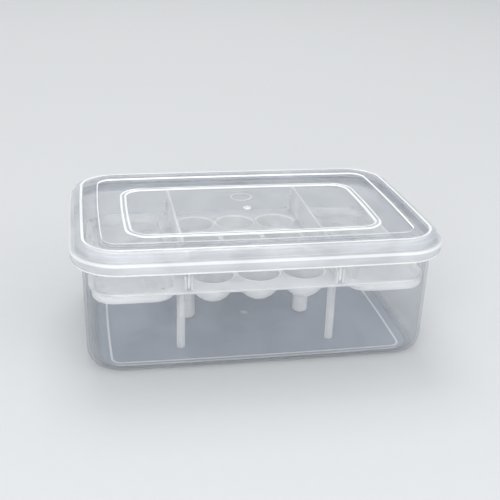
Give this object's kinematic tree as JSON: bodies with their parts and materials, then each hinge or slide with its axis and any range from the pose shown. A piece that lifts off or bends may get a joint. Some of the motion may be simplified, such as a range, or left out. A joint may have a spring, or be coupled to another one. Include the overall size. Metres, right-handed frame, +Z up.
{
  "type": "reptile breeding box",
  "caption": "Clear lidded box with a raised incubation tray of round egg cups, side basins, upright dividers and support legs.",
  "frame": {"origin": "centre of the footprint on the surface the box stands on", "axes": "+X along the long side to the right, -Y to the front, +Z up"},
  "size_m": [0.2, 0.138, 0.071],
  "materials": {
    "container_plastic": "clear, slightly cloudy moulded polypropylene",
    "lid_plastic": "clear moulded polypropylene, frosted at the skirt",
    "tray_plastic": "milky white translucent polypropylene",
    "divider_plastic": "thin cloudy polypropylene sheet",
    "leg_plastic": "milky translucent polypropylene"
  },
  "bodies": {
    "box": {"container": "container_plastic"},
    "lid": {"lid": "lid_plastic"},
    "tray": {"deck": "tray_plastic", "basin_left": "tray_plastic", "basin_right": "tray_plastic", "egg_cup_1_1": "tray_plastic", "egg_cup_1_2": "tray_plastic", "egg_cup_1_3": "tray_plastic", "egg_cup_2_1": "tray_plastic", "egg_cup_2_2": "tray_plastic", "egg_cup_2_3": "tray_plastic", "egg_cup_3_1": "tray_plastic", "egg_cup_3_2": "tray_plastic", "egg_cup_3_3": "tray_plastic", "egg_cup_4_1": "tray_plastic", "egg_cup_4_2": "tray_plastic", "egg_cup_4_3": "tray_plastic", "post_left": "tray_plastic", "post_right": "tray_plastic", "leg_front_left": "leg_plastic", "leg_front_right": "leg_plastic", "leg_rear_left": "leg_plastic", "leg_rear_right": "leg_plastic"},
    "divider_left": {"divider_left": "divider_plastic"},
    "divider_right": {"divider_right": "divider_plastic"}
  },
  "joints": [
    {"name": "lid_lift", "type": "slide", "parent": "box", "child": "lid", "axis": [0, 0, 1], "range_m": [0, 0.12]},
    {"name": "tray_lift", "type": "slide", "parent": "box", "child": "tray", "axis": [0, 0, 1], "range_m": [0, 0.075]},
    {"name": "divider_left_lift", "type": "slide", "parent": "tray", "child": "divider_left", "axis": [0, 0, 1], "range_m": [0, 0.02]},
    {"name": "divider_right_lift", "type": "slide", "parent": "tray", "child": "divider_right", "axis": [0, 0, 1], "range_m": [0, 0.02]}
  ],
  "couplings": [
    {"joint": "tray_lift", "follows": "lid_lift", "ratio": 0.625},
    {"joint": "divider_left_lift", "follows": "lid_lift", "ratio": 0.166},
    {"joint": "divider_right_lift", "follows": "lid_lift", "ratio": 0.166}
  ]
}
